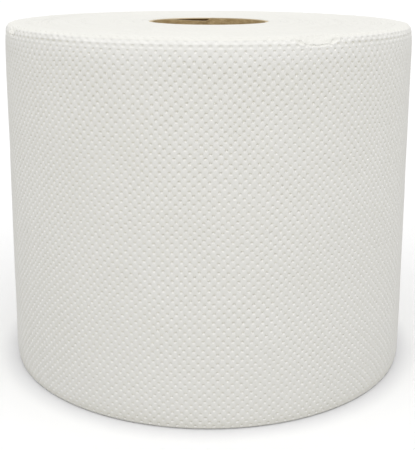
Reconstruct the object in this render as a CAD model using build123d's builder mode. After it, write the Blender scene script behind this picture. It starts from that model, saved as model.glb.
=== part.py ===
from build123d import *
import os
from math import cos, radians, sin

# Paper towel roll: one embossed two-ply web wound on a spiral-wound card core, standing on a cut end.
# Millimetres. +Z runs up the core, the front of the roll faces -Y, and the origin is the middle of the lower end.

# Driving dimensions of the wound web
roll_diameter = 200.0
roll_width = 168.0
sheet_thickness = 0.4
tail_azimuth = 225.0

# Driving dimensions of the card core, whose inner ply meets itself along a helical seam
core_outer_diameter = 60.0
core_wall = 1.6
core_recess = 0.6
glue_line = 0.1
seam_lead = 117.0
seam_width = 0.8
seam_depth = 0.3
seam_top_azimuth = 176.8

# Cut ends: the upper rim is soft from handling, and the weight keeps the lower end flat and its rim crisp
upper_rim_radius = 5.0
lower_rim_bevel = 0.8

# Turns that show on the upper end: groups of turns that lean outwards, as one spiral of ridges
drawn_turns = 7
turn_crest = 0.3
turn_valley = 0.05
turn_margin = 0.8

# Thumb dents in the upper rim, each with its azimuth round from the front, scoop radius and bite
dent_direction = 45.0
front_dent_azimuth = 26.6
front_dent_scoop = 60.0
front_dent_bite = 1.5
side_dent_azimuth = -64.5
side_dent_scoop = 10.0
side_dent_bite = 1.3

# What follows from them
roll_radius = roll_diameter / 2
core_radius = core_outer_diameter / 2
core_bore_radius = core_radius - core_wall
web_bore_radius = core_radius + glue_line
web_top = roll_width - turn_crest
turns_radius = roll_radius - upper_rim_radius - turn_margin
turns_pitch = (turns_radius - web_bore_radius - turn_margin) / (drawn_turns + 1)
quarters_per_turn = 4
quarter = 360 / quarters_per_turn


def radial(angle):
    """Unit vector in the plan, at an angle counted from +X."""
    return Vector(cos(radians(angle)), sin(radians(angle)))


def plan_angle(azimuth):
    """Angle from +X of an azimuth that is counted from the front, anticlockwise seen from above."""
    return azimuth - quarter


def spiral_arcs(outer_radius, pitch, start_angle):
    """One turn of a flat spiral that winds inwards, as tangent quarter arcs: each one's centre, radius and start.

    The centres go round a small square, so each arc's radius is a quarter pitch less than the one before.
    """
    step = pitch / quarters_per_turn
    centre = (radial(start_angle) - radial(start_angle + quarter)) * (step / 2)
    radius = outer_radius - step / 2
    arcs = []
    for count in range(quarters_per_turn):
        angle = start_angle + quarter * count
        arcs.append((centre, radius, angle))
        centre += radial(angle + quarter) * step
        radius -= step
    return arcs


def rim_dent(azimuth, scoop_radius, bite):
    """Scoops a thumb dent out of the upper rim, across its rounding."""
    reach = upper_rim_radius - bite + scoop_radius
    out = roll_radius - upper_rim_radius + reach * cos(radians(dent_direction))
    up = web_top - upper_rim_radius + reach * sin(radians(dent_direction))
    place = radial(plan_angle(azimuth)) * out
    with Locations((place.X, place.Y, up)):
        Sphere(scoop_radius, mode=Mode.SUBTRACT)


os.makedirs("parts", exist_ok=True)

# The wound web. Its outside is the last turn, a spiral that steps down by one sheet at the tail
with BuildPart() as paper_roll:
    for centre, radius, angle in spiral_arcs(roll_radius, sheet_thickness, plan_angle(tail_azimuth)):
        with BuildSketch(Plane(origin=centre, x_dir=radial(angle), z_dir=radial(angle - quarter))):
            with BuildLine():
                Polyline((0, web_top), (0, 0), (radius - lower_rim_bevel, 0), (radius, lower_rim_bevel))
                Line((radius, lower_rim_bevel), (radius, web_top - upper_rim_radius))
                CenterArc((radius - upper_rim_radius, web_top - upper_rim_radius), upper_rim_radius, 0, quarter)
                Line((radius - upper_rim_radius, web_top), (0, web_top))
            make_face()
        revolve(axis=Axis(centre, (0, 0, 1)), revolution_arc=quarter)

    # The ridges on the upper end, which start under the tail and wind in to the core
    for centre, radius, angle in spiral_arcs(turns_radius, turns_pitch, plan_angle(tail_azimuth)):
        ridges = [(radius, web_top)]
        for turn in range(drawn_turns):
            ridges.append((radius - turns_pitch * turn, web_top + turn_crest))
            ridges.append((radius - turns_pitch * (turn + 1), web_top + turn_valley))
        ridges.append((radius - turns_pitch * drawn_turns, web_top))
        with BuildSketch(Plane(origin=centre, x_dir=radial(angle), z_dir=radial(angle - quarter))):
            with BuildLine():
                Polyline(*ridges, close=True)
            make_face()
        revolve(axis=Axis(centre, (0, 0, 1)), revolution_arc=quarter)

    with BuildSketch(Plane.XY):
        Circle(web_bore_radius)
    extrude(amount=roll_width, mode=Mode.SUBTRACT)
    rim_dent(front_dent_azimuth, front_dent_scoop, front_dent_bite)
    rim_dent(side_dent_azimuth, side_dent_scoop, side_dent_bite)
paper_roll.part.label = "paper_roll"
export_step(paper_roll.part, "parts/paper_roll.step")

# The card core, cut square a little short of the web, with the butt seam of its inner ply winding up the bore
with BuildPart() as core_tube:
    with BuildSketch(Plane.XY.offset(core_recess)):
        Circle(core_radius)
        Circle(core_bore_radius, mode=Mode.SUBTRACT)
    extrude(amount=roll_width - 2 * core_recess)
    seam_start = plan_angle(seam_top_azimuth) + 360 * roll_width / seam_lead
    with BuildLine():
        unturned_seam = Helix(seam_lead, roll_width, core_bore_radius, lefthand=True, mode=Mode.PRIVATE)
        seam = unturned_seam.rotate(Axis.Z, seam_start)
        add(seam)
    with BuildSketch(Plane(origin=seam @ 0, x_dir=radial(seam_start), z_dir=seam % 0)):
        Rectangle(2 * seam_depth, seam_width)
    sweep(path=seam, is_frenet=True, mode=Mode.SUBTRACT)
core_tube.part.label = "core_tube"
export_step(core_tube.part, "parts/core_tube.step")
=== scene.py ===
import math
from collections import namedtuple

import bpy
import numpy as np
from mathutils import Matrix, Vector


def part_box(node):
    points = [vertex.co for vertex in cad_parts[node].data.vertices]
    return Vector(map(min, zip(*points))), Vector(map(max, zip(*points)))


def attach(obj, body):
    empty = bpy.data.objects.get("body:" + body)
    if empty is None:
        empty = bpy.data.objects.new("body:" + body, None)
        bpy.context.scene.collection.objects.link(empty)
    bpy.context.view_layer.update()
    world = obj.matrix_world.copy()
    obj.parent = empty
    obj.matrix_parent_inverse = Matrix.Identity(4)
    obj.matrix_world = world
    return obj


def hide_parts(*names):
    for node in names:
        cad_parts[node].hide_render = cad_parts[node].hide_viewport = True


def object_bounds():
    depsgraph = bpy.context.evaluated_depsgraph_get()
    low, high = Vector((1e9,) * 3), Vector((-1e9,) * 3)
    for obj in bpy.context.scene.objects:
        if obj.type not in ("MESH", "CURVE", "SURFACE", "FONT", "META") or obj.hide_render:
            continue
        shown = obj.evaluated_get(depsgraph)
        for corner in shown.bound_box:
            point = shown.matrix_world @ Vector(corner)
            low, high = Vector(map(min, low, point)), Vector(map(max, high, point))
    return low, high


bl_info = {
    "name": "Paper Towel Roll",
    "version": (1, 0, 0),
    "blender": (4, 5, 0),
    "location": "View3D > Sidebar > Towel Roll",
    "description": "Dresses the wound web and the card core of a paper towel roll",
    "category": "Object",
}

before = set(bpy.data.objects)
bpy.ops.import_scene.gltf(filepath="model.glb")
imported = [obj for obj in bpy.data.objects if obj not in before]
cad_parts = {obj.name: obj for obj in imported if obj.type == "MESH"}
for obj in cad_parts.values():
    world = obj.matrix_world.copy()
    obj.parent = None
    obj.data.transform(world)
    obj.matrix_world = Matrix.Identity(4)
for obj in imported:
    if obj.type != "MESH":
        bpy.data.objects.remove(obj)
cad_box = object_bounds()
core_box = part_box("core_tube")

MM = 0.001
TURN = 2 * math.pi
# Longer side of the photograph in pixels, and width of a full-frame sensor in millimetres
PHOTO_PIXELS = 450
SENSOR = 36
# Half the width of the table in metres, which puts its edges out of sight
TABLE_REACH = 40

# Thumb dents in the upper rim. The azimuth, in degrees round from the front, the radius of the scoop and its
# bite are those of the solid. Crease and crumple are depths, and close is half the arc of close points
Dent = namedtuple("Dent", "azimuth scoop bite crease crumple close")
DENTS = (
    Dent(26.6, 60 * MM, 1.5 * MM, 0.6 * MM, 0.05 * MM, 10),
    Dent(-64.5, 10 * MM, 1.3 * MM, 0.3 * MM, 0.2 * MM, 6),
)
# Rows of dots on the upper rim, with their share of the depth, and that share where the rim was handled
RIM_ROWS = ((1, 1.1, 0.85), (2, 1.0, 0.65), (3, 0.8, 0.4), (4, 0.5, 0))


def linear(colour):
    """Linear RGB of an sRGB hex colour."""
    parts = [int(colour[i:i + 2], 16) / 255 for i in (0, 2, 4)]
    return tuple(c / 12.92 if c <= 0.04045 else ((c + 0.055) / 1.055) ** 2.4 for c in parts)


# Settings that a user would change

def length_setting(name, description, default):
    """A length, in metres."""
    return bpy.props.FloatProperty(name=name, description=description, default=default, unit="LENGTH")


def angle_setting(name, description, default):
    """An angle, in radians."""
    return bpy.props.FloatProperty(name=name, description=description, default=default, subtype="ANGLE")


def colour_setting(name, description, colour):
    """A colour, given as sRGB hex."""
    return bpy.props.FloatVectorProperty(
        name=name, description=description, default=linear(colour), subtype="COLOR", min=0, max=1)


class WebSizes(bpy.types.PropertyGroup):
    """Sizes of the wound web, which are those of the solid"""
    radius: length_setting("Radius", "Radius of the last turn at its tail", 100.0 * MM)
    width: length_setting("Width", "Width of the web, which is the standing height", cad_box[1].z)
    sheet: length_setting("Sheet", "Step that the last turn makes at its tail", 0.4 * MM)
    tail_azimuth: angle_setting("Tail", "Where the web ends, round from the front", math.radians(225))
    rim_radius: length_setting("Upper Rim", "Rounding of the handled upper rim", 5.0 * MM)
    foot_bevel: length_setting("Lower Rim", "Bevel of the rim that the roll stands on", 0.8 * MM)
    bore_radius: length_setting("Bore", "Radius of the first turn, round the core", 30.1 * MM)
    ridges: bpy.props.IntProperty(
        name="Ridges", description="Ridges of the spiral on the upper end", default=7, min=1)
    ridge_margin: length_setting("Ridge Margin", "Plain edge between ridges and rim or core", 0.8 * MM)
    crest: length_setting("Crest", "Height of a ridge's outer edge", 0.3 * MM)
    valley: length_setting("Valley", "Height of a ridge's inner edge", 0.05 * MM)


class EmbossSizes(bpy.types.PropertyGroup):
    """Sizes of the embossed dots"""
    pitch_around: length_setting("Pitch Around", "Distance between dots in one row", 4.0 * MM)
    pitch_up: length_setting("Pitch Up", "Distance between every second row", 3.9 * MM)
    dot_width: length_setting("Dot Width", "Size of a dot round the roll", 2.0 * MM)
    dot_height: length_setting("Dot Height", "Size of a dot up the roll", 1.7 * MM)
    depth: length_setting("Depth", "Depth of a well-pressed dot", 0.54 * MM)
    wander: length_setting("Wander", "How far the soft web carries the rows off their lines", 0.5 * MM)
    edge: length_setting("Edge", "Plain strip along both edges of the web", 0.95 * MM)


class CoreSizes(bpy.types.PropertyGroup):
    """Sizes of the spiral-wound card core"""
    radius: length_setting("Radius", "Outer radius", core_box[1].x)
    wall: length_setting("Wall", "Thickness of all plies", 1.6 * MM)
    ply: length_setting("Ply", "Thickness of the inner ply", 0.3 * MM)
    seam_lead: length_setting("Seam Lead", "Climb of the inner ply's seam in one turn", 117.0 * MM)
    seam_width: length_setting("Seam Width", "Gap between the inner ply's edges", 0.8 * MM)
    seam_azimuth: angle_setting("Seam", "Where the seam meets the upper end", math.radians(176.8))
    loose_length: length_setting("Loose Corner", "Length of the inner ply's loose corner", 28.0 * MM)
    loose_dip: length_setting("Corner Dip", "How far the loose corner sinks below the cut", 1.4 * MM)
    loose_lift: length_setting("Corner Lift", "How far the loose corner stands off the wall", 0.6 * MM)


class RollColours(bpy.types.PropertyGroup):
    """Colours of the paper, the card and the stage"""
    paper: colour_setting("Paper", "White tissue", "EEEDEA")
    paper_shade: colour_setting("Paper Shade", "Thinner places in the tissue", "E9E8E3")
    # Painted light: the warmer tint given to the down-facing slopes of the dots, for light thrown by other
    # tissue
    paper_painted_bounce: colour_setting("Paper Depth", "Tissue that other tissue lights", "F4F1E3")
    cut_paper: colour_setting("Cut Paper", "Fuzzy saw-cut edges of the tissue", "EBEAE5")
    # Painted shade: the darker tone given to the lower rings of sheet edges
    cut_paper_painted_shade: colour_setting("Cut Paper Shade", "Lower edges among the cut ones", "E6E5DF")
    card: colour_setting("Card", "Core board", "CBB68E")
    card_dark: colour_setting("Card Flecks", "Darker fibres in the core board", "9C845A")
    card_cut: colour_setting("Card Cut", "Fuzzy cut edge of the core board", "D8CBB0")
    # Glue stain that is also painted shade: dark enough to stand for the shade in the gap behind the loose
    # corner
    glue_and_gap_shade: colour_setting("Glue", "Glue-stained board behind the inner ply", "5E4626")
    floor: colour_setting("Floor", "White table", "FCFCFC")
    floor_shade: colour_setting("Floor Shade", "White table close to the foot", "E6E6E8")
    floor_near: colour_setting("Near Bounce", "What the table throws back close to the roll", "888886")
    floor_bounce: colour_setting("Floor Bounce", "What the table throws back at the roll", "A6A6A4")


class StageSettings(bpy.types.PropertyGroup):
    """Camera and light"""
    distance: length_setting("Distance", "Camera to the core's axis", 440.0 * MM)
    height: length_setting("Height", "Camera above the table", 195.68 * MM)
    pitch: angle_setting("Pitch", "How far the camera looks down", math.radians(11.566))
    roll: angle_setting("Roll", "Tilt of the camera", 0.0034)
    focal_pixels: bpy.props.FloatProperty(
        name="Focal Length", description="Focal length in pixels of the photograph", default=870.7)
    shift_x: bpy.props.FloatProperty(
        name="Shift Across", description="Lens shift across, as a share of the photograph's longer side",
        default=-0.92 / PHOTO_PIXELS)
    shift_y: bpy.props.FloatProperty(
        name="Shift Up", description="Lens shift upwards, as a share of the photograph's longer side",
        default=-83 / PHOTO_PIXELS)
    sky: bpy.props.FloatProperty(
        name="Sky", description="Strength of the even white surroundings", default=0.83)
    lamp: bpy.props.FloatProperty(
        name="Lamp", description="Strength of the broad lamp in front", default=1.5)
    lamp_tilt: angle_setting("Lamp Tilt", "How far the lamp stands from overhead", math.radians(64))
    lamp_turn: angle_setting("Lamp Turn", "How far the lamp stands to the side", math.radians(2))
    lamp_spread: angle_setting("Lamp Spread", "How wide the lamp looks from the roll", math.radians(134))


class RollSettings(bpy.types.PropertyGroup):
    """Everything the roll is made from"""
    web: bpy.props.PointerProperty(type=WebSizes)
    emboss: bpy.props.PointerProperty(type=EmbossSizes)
    core: bpy.props.PointerProperty(type=CoreSizes)
    colours: bpy.props.PointerProperty(type=RollColours)
    stage: bpy.props.PointerProperty(type=StageSettings)


# Shared shapes

def plan_angle(azimuth):
    """Angle from +X of an azimuth that is counted from the front."""
    return azimuth - TURN / 4


def web_top(web):
    """Height of the upper end between its ridges."""
    return web.width - web.crest


def waves(points, seed, shortest, longest, count=28):
    """Smooth random field of unit strength at points in space, from waves of a range of lengths."""
    rng = np.random.default_rng(seed)
    way = rng.normal(size=(count, 3))
    way /= np.linalg.norm(way, axis=1)[:, None]
    way *= TURN / rng.uniform(shortest, longest, count)[:, None]
    phase = rng.uniform(0, TURN, count)
    return np.sin(points @ way.T + phase).sum(axis=1) * math.sqrt(2 / count)


def smooth_step(value, low, high):
    """0 below low, 1 above high and a smooth rise between them."""
    t = np.clip((value - low) / (high - low), 0, 1)
    return t * t * (3 - 2 * t)


def grid_faces(rows, columns):
    """Quads of a grid of points stored row by row."""
    row, column = np.meshgrid(np.arange(rows - 1), np.arange(columns - 1), indexing="ij")
    first, above = row * columns + column, (row + 1) * columns + column
    return np.stack([first, first + 1, above + 1, above], -1).reshape(-1, 4)


def around(radius, angle, height):
    """Points from polar coordinates."""
    radius, angle, height = np.broadcast_arrays(radius, angle, height)
    return np.stack([radius * np.cos(angle), radius * np.sin(angle), height], -1).reshape(-1, 3)


def tail_lift(along, up):
    """How far the free end of the sheet stands off the roll."""
    return 0.3 * MM * np.exp(-along / (4 * MM)) * (0.7 + 0.3 * np.sin(up / (23 * MM)))


def shoulder(past, soft):
    """How far the sheet leans in, by how far a place is past the start of the upper rim along the sheet.

    The lean starts 9 mm below the rim. Where the roll was handled it is greater, and dies out on the rim.
    """
    start, fade = 9 * MM, 1.25 * MM
    reach = (0.35 + 0.3 * soft) * MM
    beyond = np.maximum(past, 0)
    return reach * (np.clip(past / start + 1, 0, 1) ** 3 + 3 * beyond / start * np.exp(-soft * beyond / fade))


def handled(angle):
    """1 round the front of the upper rim, which hands have softened, and 0 round the rest of it."""
    from_front = np.abs((angle + TURN / 4 + math.pi) % TURN - math.pi)
    return 1 - smooth_step(from_front, math.radians(28), math.radians(50))


def foot_lean(past):
    """How far the soft lower edge leans in, by how far a place is above the bevel."""
    return 0.7 * MM * np.exp(-past / (2 * MM))


def press_dents(web, points, detail=1.0):
    """Presses the thumb dents of the upper rim into points, as scoops with a crease along their lower edges.

    The crease and the crumpled skin are scaled by detail. Nothing moves where the rim meets its neighbours.
    """
    points = points.copy()
    inset = web.radius - web.rim_radius
    level = web_top(web) - web.rim_radius
    soft, crease_width = 0.1 * MM, 0.28 * MM
    for dent in DENTS:
        angle = plan_angle(math.radians(dent.azimuth))
        way = np.array([math.cos(angle), math.sin(angle), 1]) * math.sqrt(0.5)
        rim_centre = np.array([inset * math.cos(angle), inset * math.sin(angle), level])
        away = points - rim_centre - way * (web.rim_radius - dent.bite + dent.scoop)
        distance = np.linalg.norm(away, axis=1)
        push = soft * np.logaddexp(0, np.clip((dent.scoop - distance) / soft, -60, 60))
        under = 1 - smooth_step(points[:, 2], level + 2.4 * MM, level + 4 * MM)
        push += detail * dent.crease * under * np.exp(-((distance - dent.scoop) / crease_width) ** 2)
        near = 1 - smooth_step(distance - dent.scoop, 0, 3 * MM)
        push += detail * dent.crumple * near * waves(points, 23, 0.9 * MM, 3 * MM)
        push *= smooth_step(points[:, 2], level, level + 0.5 * MM)
        push *= smooth_step(np.hypot(points[:, 0], points[:, 1]), inset - web.ridge_margin, inset)
        points += away / distance[:, None] * push[:, None]
    return points


def make_piece(name, points, faces, materials, node, chosen=None, normals=None):
    """Makes one smooth mesh piece that rides on the roll and stands for a node of the solid."""
    mesh = bpy.data.meshes.new(name)
    mesh.from_pydata(points.tolist(), [], faces.tolist() if isinstance(faces, np.ndarray) else faces)
    if mesh.validate():
        raise RuntimeError(f"{name} has faces that don't hold")
    for material in materials:
        mesh.materials.append(material)
    if chosen is not None:
        mesh.polygons.foreach_set("material_index", np.asarray(chosen, np.int32))
    mesh.polygons.foreach_set("use_smooth", np.ones(len(mesh.polygons), bool))
    if normals is not None:
        mesh.normals_split_custom_set_from_vertices(np.asarray(normals, float).tolist())
    mesh.update()
    piece = bpy.data.objects.new(name, mesh)
    bpy.context.scene.collection.objects.link(piece)
    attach(piece, "root")
    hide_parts(node)
    return piece


# Materials

def add_node(tree, kind, inputs=None, **settings):
    """Adds a node, sets its settings, and sets or links its inputs."""
    node = tree.nodes.new(kind)
    for name, value in settings.items():
        setattr(node, name, value)
    for name, value in (inputs or {}).items():
        if isinstance(value, bpy.types.NodeSocket):
            tree.links.new(value, node.inputs[name])
        else:
            node.inputs[name].default_value = value
    return node


def new_material(name):
    """An empty node material, its tree, its output, and the place of a point on the piece."""
    material = bpy.data.materials.new(name)
    material.use_nodes = True
    tree = material.node_tree
    tree.nodes.clear()
    output = tree.nodes.new("ShaderNodeOutputMaterial")
    return material, tree, output, add_node(tree, "ShaderNodeTexCoord").outputs["Object"]


def noise(tree, where, size, detail, roughness):
    """Noise whose largest features have about that size."""
    inputs = {"Vector": where, "Scale": 1 / size, "Detail": detail, "Roughness": roughness}
    return add_node(tree, "ShaderNodeTexNoise", inputs).outputs["Fac"]


def blend(tree, share, low, high):
    """Colour between two others, each a colour setting or a socket."""
    low, high = (end if isinstance(end, bpy.types.NodeSocket) else (*end, 1) for end in (low, high))
    mix = add_node(tree, "ShaderNodeMix", {"Factor": share, "A": low, "B": high}, data_type="RGBA")
    return mix.outputs["Result"]


def stretch(tree, value, low, high):
    """Share of the way of a value from low to high, held between 0 and 1."""
    inputs = {"Value": value, "From Min": low, "From Max": high}
    return add_node(tree, "ShaderNodeMapRange", inputs).outputs["Result"]


def seen_directly(tree):
    """1 on rays from the camera, mirrored or passed through, and 0 on those that gather light."""
    path = add_node(tree, "ShaderNodeLightPath")
    seen = path.outputs["Is Camera Ray"]
    for kind in ("Is Glossy Ray", "Is Transmission Ray"):
        either = add_node(tree, "ShaderNodeMath", {0: seen, 1: path.outputs[kind]}, operation="MAXIMUM")
        seen = either.outputs["Value"]
    return seen


def matt_surface(tree, output, tone, roughness, gloss, sheen=0.0, bump=None):
    """Joins matt paper or board to the output; bump holds a height, its strength and its distance."""
    inputs = {"Base Color": tone, "Roughness": roughness, "IOR": 1.45, "Specular IOR Level": gloss,
              "Sheen Weight": sheen}
    if bump:
        raised = add_node(tree, "ShaderNodeBump", dict(zip(("Height", "Strength", "Distance"), bump)))
        inputs["Normal"] = raised.outputs["Normal"]
    shader = add_node(tree, "ShaderNodeBsdfPrincipled", inputs)
    tree.links.new(shader.outputs["BSDF"], output.inputs["Surface"])


def embossed_tissue(colours):
    """Two-ply creped tissue: a soft matt white of tangled fibres, a little cloudy where it is thinner."""
    material, tree, output, where = new_material("embossed_tissue")
    # Clouds of thick and thin places, about 9 mm across
    tone = blend(tree, noise(tree, where, 9 * MM, 3.0, 0.6), colours.paper_shade, colours.paper)
    # Slopes that face down get a painted light: a warmer tone that stands for light that has met the tissue
    # before
    normal = add_node(tree, "ShaderNodeNewGeometry").outputs["Normal"]
    facing = add_node(tree, "ShaderNodeSeparateXYZ", {"Vector": normal})
    tone = blend(tree, stretch(tree, facing.outputs["Z"], 0.05, -0.6), tone, colours.paper_painted_bounce)
    # Creped fibres run up the web, drawn at 0.7 mm because the real 0.2 mm is too fine to show
    drawn_out = add_node(tree, "ShaderNodeMapping", {"Vector": where, "Scale": (1, 1, 0.45)})
    fibre = noise(tree, drawn_out.outputs["Vector"], 0.7 * MM, 4.0, 0.7)
    matt_surface(tree, output, tone, 0.95, 0.15, sheen=0.08, bump=(fibre, 0.35, 0.12 * MM))
    return material


def cut_tissue(colours):
    """Saw-cut end of the wound web: hundreds of sheet edges side by side, which look like fine rings."""
    material, tree, output, where = new_material("cut_tissue_ends")
    axes = add_node(tree, "ShaderNodeSeparateXYZ", {"Vector": where})
    flat = add_node(tree, "ShaderNodeCombineXYZ", {"X": axes.outputs["X"], "Y": axes.outputs["Y"]})
    flat = {"Vector": flat.outputs["Vector"]}
    radius = add_node(tree, "ShaderNodeVectorMath", flat, operation="LENGTH")
    heading = add_node(tree, "ShaderNodeVectorMath", flat, operation="NORMALIZE")
    # Rings of sheet edges drift round the end, drawn 0.8 mm apart because the real 0.2 mm is too fine to show
    ring = add_node(tree, "ShaderNodeMath", {0: radius.outputs["Value"], 1: 1 / (0.8 * MM)},
                    operation="MULTIPLY")
    spread = add_node(tree, "ShaderNodeVectorMath", {"Vector": heading.outputs["Vector"], "Scale": 2.2},
                      operation="SCALE")
    sides = add_node(tree, "ShaderNodeSeparateXYZ", {"Vector": spread.outputs["Vector"]})
    along = add_node(tree, "ShaderNodeCombineXYZ", {
        "X": sides.outputs["X"], "Y": sides.outputs["Y"], "Z": ring.outputs["Value"]})
    rings = noise(tree, along.outputs["Vector"], 1.0, 2.0, 0.6)
    fuzz = noise(tree, where, 0.8 * MM, 3.0, 0.7)
    both = add_node(tree, "ShaderNodeMath", {0: fuzz, 1: 0.35, 2: rings}, operation="MULTIPLY_ADD")
    # Lower rings take the darker tone, a painted shade in the recesses between sheet edges
    tone = blend(tree, rings, colours.cut_paper_painted_shade, colours.cut_paper)
    matt_surface(tree, output, tone, 0.95, 0.15, sheen=0.08, bump=(both.outputs["Value"], 0.5, 0.12 * MM))
    return material


def core_board(colours):
    """Spiral-wound core board of recycled fibre: dull grey-brown, flecked, with a grain round the tube."""
    material, tree, output, where = new_material("recycled_core_board")
    grain = add_node(tree, "ShaderNodeMapping", {"Vector": where, "Scale": (1, 1, 2.6)}).outputs["Vector"]
    # Clouds of fibre, about 4 mm across, and flecks of 0.8 mm
    cloud = noise(tree, grain, 4 * MM, 4.0, 0.65)
    fleck = noise(tree, grain, 0.8 * MM, 2.0, 0.6)
    spread = add_node(tree, "ShaderNodeMath", {0: fleck, 1: cloud}, operation="MULTIPLY")
    tone = blend(tree, stretch(tree, spread.outputs["Value"], 0.12, 0.42), colours.card_dark, colours.card)
    matt_surface(tree, output, tone, 0.9, 0.2, bump=(fleck, 0.5, 0.1 * MM))
    return material


def cut_board(colours):
    """The knife-cut end of the core board: paler torn fibres, rough and flecked."""
    material, tree, output, where = new_material("cut_core_board")
    fleck = noise(tree, where, 0.7 * MM, 3.0, 0.7)
    tone = blend(tree, fleck, colours.card, colours.card_cut)
    matt_surface(tree, output, tone, 0.95, 0.15, bump=(fleck, 0.8, 0.15 * MM))
    return material


def glue_and_painted_shade(colours):
    """Board that has soaked up the core's glue, its dark brown also a painted shade for the gap behind the
    inner ply: seen only where the inner ply has come loose.
    """
    material, tree, output, where = new_material("glue_stain_and_painted_shade")
    dark = tuple(0.6 * value for value in colours.glue_and_gap_shade)
    tone = blend(tree, noise(tree, where, 1.2 * MM, 3.0, 0.6), dark, colours.glue_and_gap_shade)
    matt_surface(tree, output, tone, 0.85, 0.2)
    return material


def white_table(colours):
    """Matt white table top: bright to the camera with the roll's shadow on it, and duller as a light."""
    material, tree, output, where = new_material("white_table")
    # Within 11.5 mm of the foot the table is shaded a little more than these broad lamps do by themselves
    foot = add_node(tree, "ShaderNodeAmbientOcclusion", {"Distance": 11.5 * MM}, samples=16)
    top = blend(tree, stretch(tree, foot.outputs["AO"], 0.5, 1.0), colours.floor_shade, colours.floor)
    # The table near the roll, which the roll shades, throws less light back than the table further off
    away = add_node(tree, "ShaderNodeVectorMath", {"Vector": where}, operation="LENGTH").outputs["Value"]
    bounce = blend(tree, stretch(tree, away, 0.1, 0.45), colours.floor_near, colours.floor_bounce)
    tone = blend(tree, seen_directly(tree), bounce, top)
    shader = add_node(tree, "ShaderNodeBsdfDiffuse", {"Color": tone})
    tree.links.new(shader.outputs["BSDF"], output.inputs["Surface"])
    return material


def material_of(name, make):
    """The material of that name, made when it is first asked for."""
    return bpy.data.materials.get(name) or make(bpy.context.scene.towel_roll.colours)


# The outer sheet

RING = 6
DOT_POINTS = 1 + 2 * RING


def dot_pitches(length, low, high, emboss):
    """Columns and rows of whole dots that fit on the sheet, with their pitches."""
    columns = round(length / emboss.pitch_around)
    rows = 2 * round((high - low - 2 * emboss.edge) / emboss.pitch_up) + 1
    return columns, length / (columns + 0.5), rows, (high - low - 2 * emboss.edge) / (rows - 1)


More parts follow.
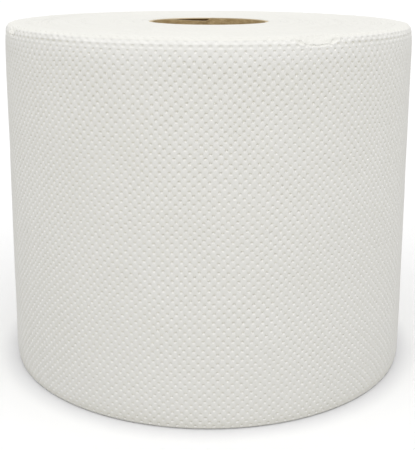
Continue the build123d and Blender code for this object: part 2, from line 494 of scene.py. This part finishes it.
def dotted_sheet(length, low, high, emboss):
    """Flat pattern of the embossed sheet: points with their dot levels and leans, triangles and both ends.

    Rows of dots stand staggered. Each dot is a centre, a ring on its wall and a ring at its brim, and leans
    as a bowl does.
    """
    columns, pitch_along, rows, pitch_up = dot_pitches(length, low, high, emboss)
    row, column = np.meshgrid(np.arange(rows), np.arange(columns), indexing="ij")
    odd = row % 2 == 1
    there = ~(odd & (column == columns - 1))
    number = np.full((rows, columns), -1)
    number[there] = np.arange(there.sum())
    along = (0.75 + column + 0.5 * odd)[there] * pitch_along
    up = low + emboss.edge + row[there] * pitch_up

    turn = np.arange(RING) * TURN / RING
    half_width, half_height = emboss.dot_width / 2, emboss.dot_height / 2
    reach = np.concatenate([[0], np.full(RING, 0.56), np.ones(RING)])
    level = np.concatenate([[1.0], np.full(RING, 0.7), np.zeros(RING)])
    lean = np.concatenate([[0], np.full(RING, 2.4), np.full(RING, 0.25)])
    heading = np.concatenate([[0], turn, turn])
    points_along = (along[:, None] + half_width * reach * np.cos(heading)).ravel()
    points_up = (up[:, None] + half_height * reach * np.sin(heading)).ravel()
    levels = np.tile(level, len(along))
    lean_along = np.tile(-lean * np.cos(heading) / half_width, len(along))
    # The rolls dragged the web as they pressed it, so that a dot's upper wall is the shorter one
    lean_up = np.tile((0.3 * level - lean * np.sin(heading)) / half_height, len(along))

    base = number * DOT_POINTS
    triangles = []
    first = base[there]
    for k in range(RING):
        after = (k + 1) % RING
        triangles.append(np.stack([first, first + 1 + k, first + 1 + after], -1))
        triangles.append(np.stack([first + 1 + k, first + 1 + RING + k, first + 1 + RING + after], -1))
        triangles.append(np.stack([first + 1 + k, first + 1 + RING + after, first + 1 + after], -1))

    def brims(*corners):
        """Points on the brims of dots, from pairs of dots and places round them."""
        return [dots + 1 + RING + k for dots, k in corners]

    def fill(corners):
        """Fills polygons, given as arrays of their corners in order, with triangles."""
        for k in range(1, len(corners) - 1):
            triangles.append(np.stack([corners[0].ravel(), corners[k].ravel(), corners[k + 1].ravel()], -1))

    middle = base[1::2, :-1]
    below_left, below_right = base[0:-1:2, :-1], base[0:-1:2, 1:]
    above_left, above_right = base[2::2, :-1], base[2::2, 1:]
    fill(brims((below_left, 0), (middle, 4), (middle, 3), (below_left, 1)))
    fill(brims((below_right, 3), (below_right, 2), (middle, 0), (middle, 5)))
    fill(brims((middle, 3), (middle, 2), (above_left, 0), (above_left, 5)))
    fill(brims((middle, 0), (above_right, 4), (above_right, 3), (middle, 1)))
    for left, right, top, bottom in (
            (base[2:-1:2, :-1], base[2:-1:2, 1:], base[3::2, :-1], base[1:-2:2, :-1]),
            (base[1::2, :-2], base[1::2, 1:-1], base[2::2, 1:-1], base[0:-1:2, 1:-1])):
        fill(brims((left, 0), (bottom, 2), (bottom, 1), (right, 3), (top, 5), (top, 4)))

    # The plain edges all round: above and below, each brim point has its own point on the straight edge
    low_chain, high_chain = [], []
    for c in range(columns):
        low_chain += brims(*((base[0, c], k) for k in (3, 4, 5, 0)))
        high_chain += brims(*((base[-1, c], k) for k in (3, 2, 1, 0)))
        if c < columns - 1:
            low_chain += brims(*((base[1, c], k) for k in (4, 5)))
            high_chain += brims(*((base[-2, c], k) for k in (2, 1)))
    count, wide = len(points_along), len(low_chain) + 2
    lower = count + np.arange(wide)
    upper = lower + wide
    left = upper[-1] + 1 + np.arange(rows)
    right = left + rows
    low_chain = np.array([left[0], *low_chain, right[0]])
    high_chain = np.array([left[-1], *high_chain, right[-1]])
    fill([lower[:-1], lower[1:], low_chain[1:], low_chain[:-1]])
    fill([high_chain[:-1], high_chain[1:], upper[1:], upper[:-1]])
    below, beside, above = base[0:-1:2, 0], base[1::2, 0], base[2::2, 0]
    side = brims((below, 3), (below, 2), (below, 1), (beside, 3), (above, 5), (above, 4), (above, 3))
    fill([left[1::2], left[0:-1:2], *side, left[2::2]])
    below, beside, above = base[0:-1:2, -1], base[1::2, -2], base[2::2, -1]
    side = brims((above, 0), (above, 5), (above, 4), (beside, 0), (below, 2), (below, 1), (below, 0))
    fill([right[1::2], right[2::2], *side, right[0:-1:2]])

    edge_along = np.concatenate([[0], points_along[low_chain[1:-1]], [length]])
    edge_up = low + emboss.edge + np.arange(rows) * pitch_up
    points_along = np.concatenate(
        [points_along, edge_along, edge_along, np.zeros(rows), np.full(rows, length)])
    points_up = np.concatenate([points_up, np.full(wide, low), np.full(wide, high), edge_up, edge_up])
    plain = np.zeros(len(points_along) - count)
    dot_values = (np.concatenate([values, plain]) for values in (levels, lean_along, lean_up))
    pattern = np.stack([points_along, points_up, *dot_values])
    left_line = np.array([lower[0], *left, upper[0]])
    right_line = np.array([lower[-1], *right, upper[-1]])
    return pattern, np.concatenate(triangles), left_line, right_line


def point_normals(points, triangles):
    """Smooth normal at every point of a triangle mesh."""
    corner = points[triangles]
    facing = np.cross(corner[:, 1] - corner[:, 0], corner[:, 2] - corner[:, 0])
    total = np.zeros_like(points)
    for k in range(3):
        np.add.at(total, triangles[:, k], facing)
    return total / np.linalg.norm(total, axis=1)[:, None]


class ROLL_OT_outer_sheet(bpy.types.Operator):
    """Last turn of the web, with its embossed dots and its tail"""
    bl_idname = "towel_roll.outer_sheet"
    bl_label = "Outer Sheet"

    def execute(self, context):
        web, emboss = context.scene.towel_roll.web, context.scene.towel_roll.emboss
        low, high = web.foot_bevel, web_top(web) - web.rim_radius
        mean = web.radius - web.sheet / 2
        length = TURN * mean
        pattern, triangles, tail, under = dotted_sheet(length, low, high, emboss)
        along, up, level, lean_along, lean_up = pattern
        tail_angle = plan_angle(web.tail_azimuth)
        flat = around(mean, tail_angle + along / mean, up)
        inside = np.minimum(np.minimum(along, length - along), np.minimum(up - low, high - up))
        free = smooth_step(inside, 0, 8 * MM)

        # The soft web carries the rows off their lines in patches, and some patches are pressed less
        rng = np.random.default_rng(14)
        dots = (len(along) // DOT_POINTS) + 1
        chance, slip_along, slip_up = (
            np.repeat(rng.normal(0, 1, dots), DOT_POINTS)[:len(along)] for _ in range(3))
        wander_along = emboss.wander * waves(flat, 11, 32 * MM, 85 * MM) + 0.1 * MM * slip_along
        wander_up = emboss.wander * waves(flat, 12, 32 * MM, 85 * MM) + 0.1 * MM * slip_up
        evenness = 0.97 + 0.08 * waves(flat, 13, 14 * MM, 60 * MM) + 0.06 * chance
        pressed = emboss.depth * np.clip(evenness, 0.5, 1.3)
        # The dots are shallower towards the foot, and a little so just below the handled part of the rim
        pressed *= 0.58 + 0.42 * up / high
        pressed *= 1 - 0.15 * handled(tail_angle + along / mean) * (1 - smooth_step(high - up, 0, 9 * MM))
        along = along + free * wander_along
        up = up + free * wander_up
        angle = tail_angle + along / mean
        billow = 0.07 * MM * free * waves(flat, 15, 25 * MM, 90 * MM)
        radius = web.radius - web.sheet * along / length + tail_lift(along, up) + billow
        radius = radius - shoulder(up - high, handled(angle)) - foot_lean(up - low)
        normals = point_normals(around(radius, angle, up), triangles)
        normals += (pressed * lean_along)[:, None] * around(1, angle + TURN / 4, 0)
        normals[:, 2] += pressed * lean_up
        normals /= np.linalg.norm(normals, axis=1)[:, None]
        points = around(radius - pressed * level, angle, up)

        # The cut edge of the tail, down to the turn under it
        count, rows = len(points), len(tail)
        step = np.concatenate([points[under], points[tail]])
        edge = np.array([(count + k, count + k + 1, count + rows + k + 1) for k in range(rows - 1)] +
                        [(count + k, count + rows + k + 1, count + rows + k) for k in range(rows - 1)])
        across = np.array([math.sin(tail_angle), -math.cos(tail_angle), 0])
        points = np.concatenate([points, step])
        normals = np.concatenate([normals, np.tile(across, (len(step), 1))])
        triangles = np.concatenate([triangles, edge])

        tissue = material_of("embossed_tissue", embossed_tissue)
        front = points[triangles].mean(axis=1)[:, 1] < 0
        for name, chosen in (("outer_sheet_front", front), ("outer_sheet_back", ~front)):
            used, faces = np.unique(triangles[chosen], return_inverse=True)
            make_piece(name, points[used], faces.reshape(-1, 3), [tissue], "paper_roll",
                       normals=normals[used])
        return {"FINISHED"}


# The wound ends

def rim_angles(web):
    """Angles round the upper rim from the tail back to the tail, close together where the dents are."""
    start = plan_angle(web.tail_azimuth)
    spread = np.linspace(0, TURN, 4001)
    dense = np.full(len(spread), 1.0)
    for dent in DENTS:
        offset = start + spread - plan_angle(math.radians(dent.azimuth))
        offset = np.degrees((offset + math.pi) % TURN - math.pi)
        dense += 4 * (1 - smooth_step(np.abs(offset), dent.close, dent.close + 6))
    share = np.concatenate([[0], np.cumsum(dense[1:] + dense[:-1])])
    return start + np.interp(np.linspace(0, 1, 1901), share / share[-1], spread)


def rim_section(web, angle, rows):
    """Section of the upper rim at each angle, from the side to the end, as distances out and up.

    With it come the length along the section and its normals. The outermost turns stand squarely, and only
    where the roll was handled is the rim nearly round.
    """
    power = 2 / (4.2 - 2.1 * handled(angle))
    turn = np.linspace(0, TURN / 4, 241)[:, None]
    out = web.rim_radius * np.cos(turn) ** power
    up = web.rim_radius * np.sin(turn) ** power
    steps = np.hypot(np.diff(out, axis=0), np.diff(up, axis=0))
    length = np.concatenate([np.zeros((1, len(angle))), np.cumsum(steps, axis=0)])
    even = np.linspace(0, 1, rows)[:, None] * length[-1]
    out = np.stack([np.interp(even[:, c], length[:, c], out[:, c]) for c in range(len(angle))], -1)
    up = np.stack([np.interp(even[:, c], length[:, c], up[:, c]) for c in range(len(angle))], -1)
    run_out, run_up = np.gradient(out, axis=0), np.gradient(up, axis=0)
    run = np.hypot(run_out, run_up)
    return out, up, even, run_up / run, -run_out / run


class ROLL_OT_upper_rim(bpy.types.Operator):
    """Soft upper rim with its two thumb dents and the last faint rows of dots"""
    bl_idname = "towel_roll.upper_rim"
    bl_label = "Upper Rim"

    def execute(self, context):
        web, emboss = context.scene.towel_roll.web, context.scene.towel_roll.emboss
        low, high, top = web.foot_bevel, web_top(web) - web.rim_radius, web_top(web)
        angle = rim_angles(web)
        out, up, past, facing_out, facing_up = rim_section(web, angle, 41)
        along = (angle - angle[0]) * (web.radius - web.sheet / 2)
        inset = web.radius - web.sheet * (angle - angle[0]) / TURN - web.rim_radius
        plain = around(inset + out, angle, high + up)

        # More rows of dots fade out towards the cut edge, sooner where the rim was handled
        _, pitch_along, _, pitch_up = dot_pitches(along[-1], low, high, emboss)
        soft = handled(angle)
        pressed = np.zeros(out.shape)
        for row, share, soft_share in RIM_ROWS:
            across = along / pitch_along - 0.75 - 0.5 * (row % 2)
            across = (across - np.round(across)) * pitch_along / (emboss.dot_width / 2)
            over = (past + emboss.edge - row * pitch_up) / (emboss.dot_height / 2)
            pressed += (share + (soft_share - share) * soft) * np.clip(1 - across ** 2 - over ** 2, 0, 1)
        pressed *= emboss.depth * smooth_step(past, 0, 0.2 * MM)
        lumps = 0.08 * MM * waves(plain, 21, 3 * MM, 16 * MM) + 0.04 * MM * waves(plain, 22, 1.2 * MM, 4 * MM)
        swell = np.sin(math.pi * past / past[-1]) * lumps.reshape(out.shape) - pressed
        lean = shoulder(past, soft) * (1 - smooth_step(past / past[-1], 0.55, 1))
        lift = tail_lift(along, high) * facing_out - lean
        points = around(inset + lift + out + facing_out * swell, angle, high + up + facing_up * swell)
        ring = around(web.radius - web.rim_radius - web.ridge_margin, angle, top)
        points = press_dents(web, np.concatenate([points, ring]))
        rows, wide = len(out) + 1, len(angle)

        # Sheet edges show where the rim faces up, and the sheet itself where it faces outwards
        even = press_dents(web, np.concatenate([plain, ring]), detail=0).reshape(rows, wide, 3)
        facing = np.cross(even[:-1, 1:] - even[:-1, :-1], even[1:, :-1] - even[:-1, :-1])
        cut_faces = (facing[..., 2] > 0.65 * np.linalg.norm(facing, axis=-1)).ravel()
        edge = points.reshape(rows, wide, 3)[:, [-1, 0]].reshape(-1, 3)
        faces = np.concatenate([grid_faces(rows, wide), grid_faces(rows, 2) + len(points)])
        tissue = material_of("embossed_tissue", embossed_tissue)
        cut = material_of("cut_tissue_ends", cut_tissue)
        chosen = np.concatenate([cut_faces, np.zeros(rows - 1)])
        make_piece("upper_rim", np.concatenate([points, edge]), faces, [tissue, cut], "paper_roll",
                   chosen=chosen)
        return {"FINISHED"}


class ROLL_OT_upper_end(bpy.types.Operator):
    """Turns that show on the upper end, as one spiral of sheet groups"""
    bl_idname = "towel_roll.upper_end"
    bl_label = "Upper End"

    def execute(self, context):
        web = context.scene.towel_roll.web
        top, start = web_top(web), plan_angle(web.tail_azimuth)
        rim = web.radius - web.rim_radius - web.ridge_margin
        pitch = (rim - web.bore_radius - web.ridge_margin) / (web.ridges + 1)
        group = pitch / 5
        across = np.array([0.02, 0.3, 0.7, 0.98])
        columns, strips = 480, int((rim - web.bore_radius - web.ridge_margin) / group) - 1
        turn = np.linspace(0, TURN, columns + 1)
        place = (np.arange(strips)[:, None] + across).ravel()[:, None]
        radius = rim - group * (place + 0.25) - group * turn / TURN

        # Each group of sheets stands at its own height, which drifts along the winding
        winding = TURN * np.floor(place) + turn
        drifts = 40
        rng = np.random.default_rng(31)
        rate = rng.uniform(0.15, 1.6, drifts)
        phase = rng.uniform(0, TURN, drifts)
        random_height = np.sin(winding[..., None] * rate + phase).sum(-1) * math.sqrt(2 / drifts)
        ridge = (rim - radius) / pitch - turn / TURN
        drawn = (ridge >= 0) & (ridge < web.ridges)
        lean = np.where(drawn, web.crest - (web.crest - web.valley) * (ridge - np.floor(ridge)), 0)
        crown = 0.03 * MM * np.sin(math.pi * (place - np.floor(place)))
        height = top + np.clip(0.55 * lean + crown + 0.05 * MM * random_height, -0.2 * MM, web.crest)
        spiral = around(radius, start + turn, height)

        # Plain rings at the rim and at the core, where the inner edge rounds over into the bore
        rows, wide = len(place), columns + 1
        ring_radius = np.array([rim, *(web.bore_radius + gap for gap in (0.5 * MM, 0.15 * MM, 0, 0))])
        ring_height = top + np.array([0, 0.1, 0.02, -0.2, -2.5]) * MM
        rings = around(ring_radius[:, None], start + turn, ring_height[:, None])
        points = np.concatenate([spiral, rings])
        rim_ring, inner_ring = rows, rows + 1

        def at(row, column):
            return row * wide + column

        # The spiral's strips, joined to the rings and, where a turn ends, to the start of the next one
        faces = [tuple(q) for q in grid_faces(rows, wide)]
        for c in range(columns - 1):
            faces.append((at(rim_ring, c), at(rim_ring, c + 1), at(0, c + 1), at(0, c)))
        for c in range(1, columns):
            faces.append((at(rows - 1, c), at(rows - 1, c + 1), at(inner_ring, c + 1), at(inner_ring, c)))
        steps, last = len(across), columns - 1
        first = rows - steps
        faces.append((at(rim_ring, last), at(rim_ring, columns), at(0, 0), at(0, last)))
        faces += [(at(0, last), at(k, 0), at(k + 1, 0)) for k in range(steps)]
        faces += [(at(k, columns), at(rows - 1, 1), at(k + 1, columns)) for k in range(first - 1, rows - 1)]
        faces += [(at(k, columns), at(k + steps, 0), at(k + steps + 1, 0), at(k + 1, columns))
                  for k in range(first - 1)]
        faces.append((at(rows - 1, columns), at(rows - 1, 1), at(inner_ring, 1), at(inner_ring, 0)))
        faces += [tuple(q + inner_ring * wide) for q in grid_faces(4, wide)]
        joined, faces = weld(points, faces)
        cut = material_of("cut_tissue_ends", cut_tissue)
        make_piece("upper_turns", joined, faces, [cut], "paper_roll")
        return {"FINISHED"}


def weld(points, faces):
    """Joins points that share a place to 0.002 mm, and drops faces that this closes up."""
    key = np.round(points / (0.002 * MM)).astype(np.int64)
    _, keep, which = np.unique(key, axis=0, return_index=True, return_inverse=True)
    which = which.ravel()
    made = []
    for face in faces:
        loop = []
        for corner in face:
            if which[corner] not in loop:
                loop.append(int(which[corner]))
        if len(loop) > 2:
            made.append(loop)
    return points[keep], made


class ROLL_OT_lower_end(bpy.types.Operator):
    """Flat lower end that the roll stands on, its crisp rim and the bore of the web"""
    bl_idname = "towel_roll.lower_end"
    bl_label = "Lower End"

    def execute(self, context):
        web = context.scene.towel_roll.web
        angle = plan_angle(web.tail_azimuth) + np.linspace(0, TURN, 361)
        outer = web.radius - web.sheet * (angle - angle[0]) / TURN
        outer = outer + tail_lift((angle - angle[0]) * web.radius, web.foot_bevel) - foot_lean(0)
        radius = [outer, outer - 0.3 * web.foot_bevel, outer - web.foot_bevel]
        height = [web.foot_bevel, 0.3 * web.foot_bevel, 0]
        foot = web.radius - web.foot_bevel - web.sheet - foot_lean(0) - 0.4 * MM
        rng = np.random.default_rng(41)
        for share in np.linspace(0, 1, 90):
            radius.append(np.full(len(angle), foot + (web.bore_radius - foot) * share))
            height.append(rng.uniform(0, 0.06) * MM)
        for up in (0.5 * MM, web_top(web) - 2.5 * MM):
            radius.append(np.full(len(angle), web.bore_radius))
            height.append(up)
        points = around(np.array(radius), angle, np.array(height)[:, None])
        faces = grid_faces(len(radius), len(angle))[:, ::-1]
        cut = material_of("cut_tissue_ends", cut_tissue)
        make_piece("lower_turns", points, faces, [cut], "paper_roll")
        return {"FINISHED"}


# The core

class ROLL_OT_core(bpy.types.Operator):
    """Card core: the wound wall with its cut ends, and the inner ply with its seam and loose corner"""
    bl_idname = "towel_roll.core"
    bl_label = "Core"

    def execute(self, context):
        core = context.scene.towel_roll.core
        low, high = core_box[0].z, core_box[1].z
        board = material_of("recycled_core_board", core_board)
        cut = material_of("cut_core_board", cut_board)
        glue_shade_board = material_of("glue_stain_and_painted_shade", glue_and_painted_shade)
        bore = core.radius - core.wall
        seat = bore + core.ply
        frayed = 0.35 * MM

        # The wall: up the glued seat of the inner ply, across the cut plies, down the outside and back
        seat_rows, rings, outside_rows = 42, 8, 12
        angle = np.linspace(0, TURN, 361)[:-1]
        wide = len(angle)
        plies = np.linspace(seat, core.radius, rings + 2)[1:-1]
        seat_up = np.concatenate([[low], np.linspace(low + frayed, high - frayed, seat_rows - 2), [high]])
        outside_up = np.linspace(high, low, outside_rows)
        radius = np.concatenate(
            [np.full(seat_rows, seat), plies, np.full(outside_rows, core.radius), plies[::-1]])
        height = np.concatenate([seat_up, np.full(rings, high), outside_up, np.full(rings, low)])
        rough = np.zeros(len(radius))
        rough[0] = 1
        rough[seat_rows - 1:seat_rows + rings + 1] = 1
        rough[-rings - 1:] = 1
        points = around(radius[:, None], angle, height[:, None])
        nibbled = 0.06 * MM * np.abs(waves(points, 51, 0.8 * MM, 3 * MM)) * np.repeat(rough, wide)
        points[:, 2] += nibbled * np.where(points[:, 2] < (low + high) / 2, 1, -1)
        rows = len(radius)
        row, column = np.meshgrid(np.arange(rows), np.arange(wide), indexing="ij")
        after_row, after_column = (row + 1) % rows, (column + 1) % wide
        faces = np.stack([row * wide + column, after_row * wide + column,
                          after_row * wide + after_column, row * wide + after_column], -1).reshape(-1, 4)
        # The seat behind the inner ply takes the glue-stained board, whose dark tone is partly painted shade
        # for the gap at the loose corner
        on_seat = np.where(row.ravel() < seat_rows, 2, 0)
        chosen = np.where((rough[row] + rough[after_row]).ravel() > 0, 1, on_seat)
        make_piece("core_wall", points, faces, [board, cut, glue_shade_board], "core_tube", chosen=chosen)

        # The inner ply, laid along its own seam, with one loose corner and a frayed cut edge
        top_angle = plan_angle(core.seam_azimuth)
        gap = 0.4 * core.seam_width / bore / math.cos(math.atan(core.seam_lead / (TURN * bore)))
        past_seam = np.concatenate([np.linspace(gap / 2, 1.2, 90), np.linspace(1.2, TURN - gap / 2, 150)[1:]])
        fine = high - 22 * MM
        up = np.concatenate(
            [[low], np.linspace(low + frayed, fine, 20), np.linspace(fine, high - frayed, 30)[1:], [high]])
        past_seam, up = np.meshgrid(past_seam, up)
        rows, wide = up.shape
        arc = past_seam * bore
        loose = smooth_step(1 - arc / core.loose_length, 0, 0.9) * (0.75 + 0.25 * smooth_step(arc, 0, 3 * MM))
        loose = loose * np.exp((up - high) / (5 * MM))
        plan = top_angle + TURN * (high + low - up) / core.seam_lead + past_seam
        sunk = up - core.loose_dip * loose
        place = around(bore, plan, sunk)
        skin = 0.02 * MM * waves(place, 52, 4 * MM, 14 * MM).reshape(up.shape)
        edge = np.zeros((rows, wide))
        edge[[0, -1]] = 1
        nibbled = 0.06 * MM * np.abs(waves(place, 53, 0.8 * MM, 3 * MM)).reshape(up.shape) * edge
        sunk += nibbled * np.where(up < (low + high) / 2, 1, -1)
        lift = core.loose_lift * loose
        inner = around(bore + skin + 0.08 * MM * edge - lift, plan, sunk)
        outer = around(seat - 0.01 * MM - lift, plan, sunk)
        count = rows * wide
        sheet = grid_faces(rows, wide)
        border = [(r * wide, (r + 1) * wide) for r in range(rows - 1)]
        border += [((rows - 1) * wide + c, (rows - 1) * wide + c + 1) for c in range(wide - 1)]
        border += [((r + 1) * wide + wide - 1, r * wide + wide - 1) for r in range(rows - 1)]
        border += [(c + 1, c) for c in range(wide - 1)]
        edges = np.array([(a, b, b + count, a + count) for a, b in border])
        faces = np.concatenate([sheet[:, ::-1], sheet + count, edges])
        on_edge = np.repeat(np.arange(rows - 1), wide - 1)
        on_edge = (on_edge == 0) | (on_edge == rows - 2)
        ends = np.repeat([0, 1, 0, 1], [rows - 1, wide - 1, rows - 1, wide - 1])
        chosen = np.concatenate([on_edge, np.zeros(len(sheet)), ends])
        make_piece("core_inner_ply", np.concatenate([inner, outer]), faces, [board, cut], "core_tube",
                   chosen=chosen)
        return {"FINISHED"}


# The stage

class ROLL_OT_stage(bpy.types.Operator):
    """White table, even surroundings, a broad lamp and the camera"""
    bl_idname = "towel_roll.stage"
    bl_label = "Stage"

    def execute(self, context):
        scene, stage = context.scene, context.scene.towel_roll.stage
        mesh = bpy.data.meshes.new("white_table")
        corners = [(TABLE_REACH * x, TABLE_REACH * y, 0) for x, y in ((-1, -1), (1, -1), (1, 1), (-1, 1))]
        mesh.from_pydata(corners, [], [(0, 1, 2, 3)])
        mesh.materials.append(material_of("white_table", white_table))
        table = bpy.data.objects.new("white_table", mesh)
        scene.collection.objects.link(table)

        # Surroundings that look pure white and light the roll a little less than that
        world = bpy.data.worlds.new("white_room")
        world.use_nodes = True
        tree = world.node_tree
        tree.nodes.clear()
        strength = add_node(tree, "ShaderNodeMapRange", {
            "Value": seen_directly(tree), "To Min": stage.sky, "To Max": 1.0})
        light = add_node(tree, "ShaderNodeBackground", {
            "Color": (1, 1, 1, 1), "Strength": strength.outputs["Result"]})
        output = add_node(tree, "ShaderNodeOutputWorld")
        tree.links.new(light.outputs["Background"], output.inputs["Surface"])
        scene.world = world

        lamp = bpy.data.lights.new("broad_lamp", "SUN")
        lamp.energy = stage.lamp
        lamp.angle = stage.lamp_spread
        lamp_object = bpy.data.objects.new("broad_lamp", lamp)
        lamp_object.rotation_euler = (stage.lamp_tilt, 0, stage.lamp_turn)
        scene.collection.objects.link(lamp_object)

        camera = bpy.data.cameras.new("photo_camera")
        camera.sensor_width = SENSOR
        camera.lens = stage.focal_pixels * SENSOR / PHOTO_PIXELS
        camera.shift_x = stage.shift_x
        camera.shift_y = stage.shift_y
        camera.clip_start, camera.clip_end = 0.01, 200
        camera_object = bpy.data.objects.new("photo_camera", camera)
        camera_object.matrix_world = (
            Matrix.Translation((0, -stage.distance, stage.height))
            @ Matrix.Rotation(TURN / 4 - stage.pitch, 4, "X") @ Matrix.Rotation(stage.roll, 4, "Z"))
        scene.collection.objects.link(camera_object)
        scene.camera = camera_object
        scene.view_settings.view_transform = "Standard"
        return {"FINISHED"}


class ROLL_PT_panel(bpy.types.Panel):
    """Sizes, colours and makers of the roll"""
    bl_idname = "ROLL_PT_panel"
    bl_label = "Towel Roll"
    bl_space_type = "VIEW_3D"
    bl_region_type = "UI"
    bl_category = "Towel Roll"

    def draw(self, context):
        settings = context.scene.towel_roll
        for group in (settings.web, settings.emboss, settings.core, settings.colours, settings.stage):
            box = self.layout.box()
            for name in group.__annotations__:
                box.prop(group, name)
        for operator in OPERATORS:
            self.layout.operator(operator.bl_idname)


OPERATORS = (ROLL_OT_outer_sheet, ROLL_OT_upper_rim, ROLL_OT_upper_end, ROLL_OT_lower_end, ROLL_OT_core,
             ROLL_OT_stage)
CLASSES = (WebSizes, EmbossSizes, CoreSizes, RollColours, StageSettings, RollSettings, *OPERATORS,
           ROLL_PT_panel)


def register():
    for made in CLASSES:
        bpy.utils.register_class(made)
    bpy.types.Scene.towel_roll = bpy.props.PointerProperty(type=RollSettings)


def unregister():
    del bpy.types.Scene.towel_roll
    for made in reversed(CLASSES):
        bpy.utils.unregister_class(made)


def main():
    register()
    bpy.ops.towel_roll.outer_sheet()
    bpy.ops.towel_roll.upper_rim()
    bpy.ops.towel_roll.upper_end()
    bpy.ops.towel_roll.lower_end()
    bpy.ops.towel_roll.core()
    bpy.ops.towel_roll.stage()
    bpy.context.view_layer.update()


if __name__ == "__main__":
    main()
